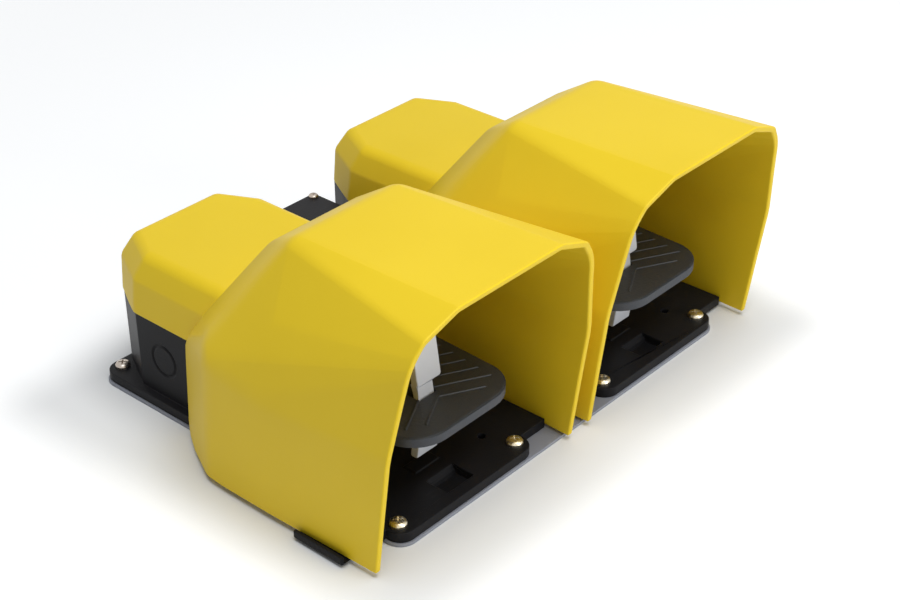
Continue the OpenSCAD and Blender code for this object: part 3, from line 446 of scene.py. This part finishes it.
# Guard hood, in mm of the unit
hoodForm = {
    "mouth": -70.5, "lean": 21, "height": 149.5, "edge": 3.6, "bend": 79, "low": -20, "wall": 3.6,
    "rim": 56.4, "foot": 95.5, "slope": 0.7036, "closed": 91.5,  # the slanted joint with the rear cover
    "fall": 0.03, "chamferDrop": 14, "chamferFrom": -89.5, "chamferFall": 0.248,
    "frontRing": -112, "frontDrop": 2.6, "middleRing": 4,
    "frontRadii": (9, 8, 34, 9), "middleRadii": (16, 23, 40, 12), "shoulderRadii": (14, 26, 30, 13),
    "jointRadius": 7, "pastJoint": (1.1, 1.1, 1.1, 1),
    "mouthLine": ((0.25, 42), (0.5, 79), (0.68, 108), (0.86, 134.5), (0.94, 143)),  # share of lean, height
    "mouthTip": 1.4, "notches": ((108.6, 8.3), (98.6, 56.7)), "notchAlong": (92, 60), "screw": (71, 30),
    "boss": {"radius": 4.2, "height": 16, "middle": 16.3, "segments": 48}, "web": (20, 4),
    "hole": {"radius": 1.55, "height": 22, "middle": 11, "segments": 32},
}
hoodCutter = {"over": 10, "under": -50, "ahead": -200, "behind": 130, "hollowWidth": 180, "width": 200}


def hoodTop(y):
    return hoodForm["height"] - hoodForm["fall"] * (y - hoodForm["mouth"] + hoodForm["lean"])


def hoodChamfer(y):
    start = hoodForm["height"] - hoodForm["chamferDrop"]
    return start - hoodForm["chamferFall"] * (y - hoodForm["chamferFrom"])


def jointAt(z):
    return hoodForm["foot"] - hoodForm["slope"] * (z - hoodForm["rim"])


# A corner is a place with its inward shift for one mm of edge radius
def shifted(corner, radius):
    place, inward = corner
    return tuple(p - radius * s for p, s in zip(place, inward))


# Corners of the hood, from the top down to the low ends of the walls
def hoodCorners():
    form = hoodForm
    front, middle, bend, low = (form[key] for key in ("frontRing", "middleRing", "bend", "low"))
    return {
        "front": [
            ((40, front, hoodTop(front)), (0.25, 0, 1)),
            ((67.6, front, hoodChamfer(front) - form["frontDrop"]), (0.87, 0, 0.66)),
            ((78.4, front, bend), (1, 0, 0.11)),
            ((77.2, front, low), (1, 0, 0)),
        ],
        "middle": [
            ((40.5, middle, hoodTop(middle)), (0.5, 0, 1)),
            ((67, middle, hoodChamfer(middle)), (0.85, 0, 0.53)),
            ((82, middle, bend), (1, 0, 0.24)),
            ((80.3, middle, low), (1, 0, 0)),
        ],
        "shoulder": [
            ((40.5, 20, hoodTop(20)), (0.5, 0.35, 1)),
            ((66, 26, hoodChamfer(26)), (0.85, 0.27, 0.53)),
            ((80, 51, bend), (1, 0.35, 0.24)),
            ((80.3, 54.5, low), (1, 0.25, 0)),
        ],
        "joint": [
            ((33, jointAt(131), 131), (0.44, 0.35, 1)),
            ((44.3, jointAt(94), 94), (0.87, 0.3, 0.53)),
            ((50.6, jointAt(bend), bend), (1, 0.41, 0.33)),
            ((52, 97, 57.4), (0.9, 0.6, 0)),
        ],
        "heel": [((67.6, 82, low), (1, 0.5, 0)), ((54.8, 99, low), (0.9, 0.6, 0))],
    }


# A sphere for each corner. The lines from shoulder to joint go on a little past the joint.
def hoodBalls():
    form, corners = hoodForm, hoodCorners()
    small = form["jointRadius"]
    ahead = zip(corners["front"] + corners["middle"], form["frontRadii"] + form["middleRadii"])
    balls = [(shifted(corner, radius), radius) for corner, radius in ahead]
    rows = zip(corners["shoulder"], corners["joint"], form["shoulderRadii"], form["pastJoint"])
    for shoulder, joint, radius, past in rows:
        here, there = shifted(shoulder, radius), shifted(joint, small)
        balls.append((here, radius))
        balls.append((tuple(a + (b - a) * past for a, b in zip(here, there)), small))
    return balls + [(shifted(corner, small), small) for corner in corners["heel"]]


# What lies inside the wall, up to the slanted joint and the closed rear
def hoodHollow(balls):
    form, cutter = hoodForm, hoodCutter
    top = form["height"] + cutter["over"]
    back = form["wall"] * math.hypot(1, form["slope"])
    closed = form["closed"]
    outline = [(cutter["ahead"], cutter["under"]), (cutter["ahead"], top), (jointAt(top) - back, top),
               (jointAt(closed) - back, closed), (cutter["behind"], closed),
               (cutter["behind"], cutter["under"])]
    return solidWork(roundHull(balls, form["wall"]), acrossPrism(outline, cutter["hollowWidth"]), "INTERSECT")


# The side view: mouth, top, slanted joint, foot and lower edge
def hoodOutline():
    form, cutter = hoodForm, hoodCutter
    top = form["height"] + cutter["over"]
    mouthTop = form["mouth"] - form["lean"]
    outline = [(form["mouth"], form["edge"])]
    for share, height in form["mouthLine"]:
        outline.append((form["mouth"] - share * form["lean"], height))
    outline += [(mouthTop, form["height"]), (mouthTop - form["mouthTip"], top), (jointAt(top), top),
                (form["foot"], form["rim"]), (form["foot"], form["edge"])]
    return acrossPrism(outline, cutter["width"])


def hoodShape():
    form, boss = hoodForm, hoodForm["boss"]
    balls = hoodBalls()
    shape = solidWork(roundHull(balls, 0), hoodHollow(balls), "DIFFERENCE")
    inside = roundHull(balls, form["wall"] / 2)
    x, y = form["screw"]
    reach, thick = form["web"]
    for side in sides.values():
        post = uprightCylinder(boss, side * x, y)
        web = levelBlock((reach, thick, boss["height"]), (side * (x + reach / 2), y, boss["middle"]))
        post = solidWork(solidWork(post, web, "UNION"), inside, "INTERSECT")
        shape = solidWork(shape, post, "UNION")
        shape = solidWork(shape, uprightCylinder(form["hole"], side * x, y), "DIFFERENCE")
    shape = solidWork(shape, hoodOutline(), "INTERSECT")
    along, length = form["notchAlong"]
    for width, height in form["notches"]:
        notch = levelBlock((width, length, height), (0, along, height / 2))
        shape = solidWork(shape, notch, "DIFFERENCE")
    return shape


# Rear cover, in the same form, with the middles of boss and hole above its lower edge
coverForm = {
    "wall": 3.2, "low": 57.6, "radius": 8, "gap": 0.5, "over": 140, "behind": 200, "width": 130,
    "screws": ((43, 102), (36, 150)),
    "boss": {"radius": 5, "height": 24, "middle": 12, "segments": 48},
    "hole": {"radius": 2.05, "height": 13, "middle": 5.5, "segments": 32},
}
coverCorners = [
    ((44, 40, 95), (0.69, 0, 1)), ((50, 40, 79), (1, 0, 0.2)), ((51.6, 40, 45.6), (1, 0, 0)),
    ((44, 134.5, 95), (0.69, 0.2, 1)), ((50, 139, 79), (1, 0.25, 0.2)), ((51.6, 141.5, 45.6), (1, 0.25, 0)),
    ((30.7, 158.5, 95), (0.35, 0.55, 1)), ((35.5, 167.5, 79), (0.6, 1, 0.15)),
    ((35.5, 171, 45.6), (0.6, 1, 0)),
]


def coverShape():
    form = coverForm
    low, over, gap, behind = (form[key] for key in ("low", "over", "gap", "behind"))
    balls = [(shifted(corner, form["radius"]), form["radius"]) for corner in coverCorners]
    outline = [(jointAt(low) + gap, low), (jointAt(over) + gap, over), (behind, over), (behind, low)]
    shape = solidWork(roundHull(balls, 0), roundHull(balls, form["wall"]), "DIFFERENCE")
    shape = solidWork(shape, acrossPrism(outline, form["width"]), "INTERSECT")
    inside = roundHull(balls, form["wall"] / 2)
    for x, y in form["screws"]:
        for side in sides.values():
            post = solidWork(uprightCylinder(form["boss"], side * x, y, low), inside, "INTERSECT")
            shape = solidWork(shape, post, "UNION")
            shape = solidWork(shape, uprightCylinder(form["hole"], side * x, y, low), "DIFFERENCE")
    return shape


# The shells' rims are rounded: lengths in mm, angles in degrees
shellRim = {"hood": 0.9, "rear_cover": 0.6, "merge": 0.002, "segments": 3, "sharp": 48, "smooth": 50}


def addShells():
    for kind, made in (("hood", hoodShape()), ("rear_cover", coverShape())):
        bmesh.ops.remove_doubles(made, verts=made.verts, dist=shellRim["merge"])
        for side in sides:
            shape = toFrame(made.copy(), sides[side])
            name = side + kind.title().replace("_", "") + "Shell"
            piece = newPiece(name, shape, "yellowShell", "frame", f"{side}_{kind}")
            bevel = piece.modifiers.new("rim", "BEVEL")
            bevel.width = shellRim[kind] * mm
            bevel.segments = shellRim["segments"]
            bevel.limit_method = "ANGLE"
            bevel.angle_limit = math.radians(shellRim["sharp"])
            bevel.use_clamp_overlap = False
            smoothed(piece, shellRim["smooth"])
        openEdges = sum(not e.is_manifold for e in made.edges)
        print(kind, "shell:", len(made.faces), "faces,", openEdges, "open edges")
        made.free()


addShells()

# Mouldings and plate with rounded edges: finish and edge radius in metres
roundedPairs = {
    "base": ("blackBody", 0.0005), "pedal": ("treadBlack", 0.00035), "latch": ("latchGrey", 0.0006),
}
roundedSingles = {
    "junction_box": ("blackBody", 0.0005), "junction_lid": ("blackBody", 0.0004),
    "mounting_plate": ("platePaint", 0.0004),
}
for kind, (finish, edge) in roundedPairs.items():
    for side in sides:
        roundedCopy(f"{side}_{kind}", finish, edge)
for node, (finish, edge) in roundedSingles.items():
    roundedCopy(node, finish, edge)
print("mouldings rounded")


# A wire starts as a ring that a spin winds on, and gets closed ends at last
wireSmooth = 60  # degrees


def wireRing(shape, radius, sidesRound, place):
    spot = Matrix.Translation(place) @ Matrix.Rotation(math.radians(90), 4, "X")
    bmesh.ops.create_circle(shape, cap_ends=False, segments=sidesRound, radius=radius, matrix=spot)


def closedWire(shape):
    bmesh.ops.holes_fill(shape, edges=[e for e in shape.edges if e.is_boundary], sides=0)
    bmesh.ops.recalc_face_normals(shape, faces=shape.faces)


# Return springs of round wire, their ends coiled close, in mm
springForm = {
    "radius": 7.5, "wire": 0.9, "wireSides": 12, "turns": 7, "ahead": 20, "low": 9.1, "high": 49.9,
    "endPitch": 2.3, "steps": 28,
}


def returnSpring(side):
    form = springForm
    shape = bmesh.new()
    wireRing(shape, form["wire"], form["wireSides"], (form["radius"], 0, form["low"]))
    last = list(shape.verts) + list(shape.edges)
    middleTurns = form["turns"] - 2
    middlePitch = (form["high"] - form["low"] - 2 * form["endPitch"]) / middleTurns
    for turns, pitch in ((1, form["endPitch"]), (middleTurns, middlePitch), (1, form["endPitch"])):
        rise = (0, 0, pitch / form["steps"])
        swept = bmesh.ops.spin(shape, geom=last, cent=(0, 0, 0), axis=(0, 0, 1), dvec=rise, use_merge=False,
                               angle=2 * math.pi * turns, steps=form["steps"] * turns, use_duplicate=False)
        last = swept["geom_last"]
    closedWire(shape)
    bmesh.ops.translate(shape, vec=(0, form["ahead"], 0), verts=shape.verts)
    node = f"{side}_return_spring"
    body = nodes[node]["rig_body"]
    piece = newPiece(side + "ReturnSpringWire", toFrame(shape, sides[side]), "springSteel", body, node)
    smoothed(piece, wireSmooth, False)
    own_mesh(piece)


# Latch springs, in mm: turns round the latch pin, one leg on the pedal, the other along the latch
coilForm = {
    "radius": 2.95, "wire": 0.45, "wireSides": 10, "turns": 2.25, "pitch": 1.4, "steps": 24,
    "pin": (9.1, -36.25, 49), "fixedLeg": 4.4, "freeLeg": 9.8,
    "bent": (2.4, -3.6),  # where the bending starts and ends, above the pin
}


def latchSpring(side):
    form = coilForm
    shape = bmesh.new()
    wireRing(shape, form["wire"], form["wireSides"], (0, form["fixedLeg"], form["radius"]))

    def drawn(edges, move):
        grown = bmesh.ops.extrude_edge_only(shape, edges=edges)["geom"]
        bmesh.ops.translate(shape, vec=move, verts=onlyCorners(grown))
        return grown

    leg = drawn(list(shape.edges), (0, -form["fixedLeg"], 0))
    last = onlyCorners(leg) + [e for e in onlyEdges(leg) if e.is_boundary]
    advance = (form["pitch"] / form["steps"], 0, 0)
    swept = bmesh.ops.spin(shape, geom=last, cent=(0, 0, 0), axis=(1, 0, 0), dvec=advance, use_merge=False,
                           angle=2 * math.pi * form["turns"], steps=round(form["steps"] * form["turns"]),
                           use_duplicate=False)
    drawn(onlyEdges(swept["geom_last"]), (0, 0, -form["freeLeg"]))
    closedWire(shape)
    bmesh.ops.translate(shape, vec=form["pin"], verts=shape.verts)
    node = f"{side}_latch_spring"
    piece = newPiece(side + "LatchSpringWire", toFrame(shape, sides[side]), "springSteel", None, node)
    smoothed(piece, wireSmooth, False)
    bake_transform(piece)


for side in sides:
    returnSpring(side)
    latchSpring(side)
print("springs wound")


# Floor, backdrop colour and studio light, in metres
stage = {
    "size": 6, "floor": 0.86, "mottle": 0.99, "paper": (3, 2), "roughness": 0.9, "specular": 0.1,
    "near": (0.17, 0.132, 1),  # half sizes of a box round the part, past which the floor is lifted
    # Over this distance past the box the lift fades in, so a painted shade stays on the floor round the part
    "fade": 0.05, "lift": 0.3, "far": (0.2, 2.2), "farLift": 0.7,
    "world": 0.22, "light": (0.955, 0.978, 1), "aim": (0, 0, 0.05),
}
lamps = {"main": ((-0.13, -0.45, 1.6), 24, 1.2), "front": ((0.4, -2.0, 0.6), 14, 1.0)}  # place, watts, size
whitened = ("Is Camera Ray", "Is Glossy Ray", "Is Transmission Ray")


# A paper floor, lifted towards white past the part, for the rays that see it. Near the part the lift fades
# out, which paints a darker shade on the floor round the part.
def addFloor():
    shape = bmesh.new()
    bmesh.ops.create_grid(shape, x_segments=1, y_segments=1, size=stage["size"])
    mesh = bpy.data.meshes.new("floor")
    shape.to_mesh(mesh)
    shape.free()
    floor = bpy.data.objects.new("floor", mesh)
    scene.collection.objects.link(floor)
    finish = Finish("floorPaper", Roughness=stage["roughness"], Specular_IOR_Level=stage["specular"])
    seen = sum(finish.node("LightPath", None, None, ray) for ray in whitened)
    past = finish.node("VectorMath", {"operation": "ABSOLUTE"}, {0: finish.place})
    past = finish.node("VectorMath", {"operation": "SUBTRACT"}, {0: past, 1: stage["near"]})
    past = finish.node("VectorMath", {"operation": "MAXIMUM"}, {0: past, 1: (0, 0, 0)})
    past = finish.node("VectorMath", {"operation": "LENGTH"}, {0: past}, "Value")
    # Painted shade: no lift at the part's box, full lift past the fade
    near, far = finish.ranged(past, 0, stage["fade"]), finish.ranged(past, *stage["far"])
    first, second = (stage["floor"],) * 3, (stage["floor"] * stage["mottle"],) * 3
    finish.put(finish.shader.inputs["Base Color"], finish.mixed(finish.noise(*stage["paper"]), first, second))
    finish.put(finish.shader.inputs["Emission Color"], seen * (near * stage["lift"] + far * stage["farLift"]))
    finish.put(finish.shader.inputs["Emission Strength"], 1)
    mesh.materials.append(finish.material)


# A dim world that is white for the rays that see it
def addWorld():
    world = bpy.data.worlds.new("studio")
    scene.world = world
    world.use_nodes = True
    tree = world.node_tree
    path, background = tree.nodes.new("ShaderNodeLightPath"), tree.nodes["Background"]
    total = path.outputs[whitened[0]]
    for ray in whitened[1:]:
        added = tree.nodes.new("ShaderNodeMath")
        tree.links.new(total, added.inputs[0])
        tree.links.new(path.outputs[ray], added.inputs[1])
        total = added.outputs[0]
    shade = tree.nodes.new("ShaderNodeMix")
    shade.data_type = "RGBA"
    shade.inputs[6].default_value = (*(channel * stage["world"] for channel in stage["light"]), 1)
    shade.inputs[7].default_value = (1, 1, 1, 1)
    tree.links.new(total, shade.inputs[0])
    tree.links.new(shade.outputs[2], background.inputs["Color"])


def addLamps():
    for name, (place, watts, size) in lamps.items():
        lamp = bpy.data.objects.new(name + "Lamp", bpy.data.lights.new(name + "Lamp", "AREA"))
        lamp.data.energy, lamp.data.size, lamp.data.color = watts, size, stage["light"]
        lamp.location = place
        lamp.rotation_euler = (Vector(stage["aim"]) - Vector(place)).to_track_quat("-Z", "Y").to_euler()
        scene.collection.objects.link(lamp)


addFloor()
addWorld()
addLamps()
scene.view_settings.view_transform = "Standard"
print("stage lit")
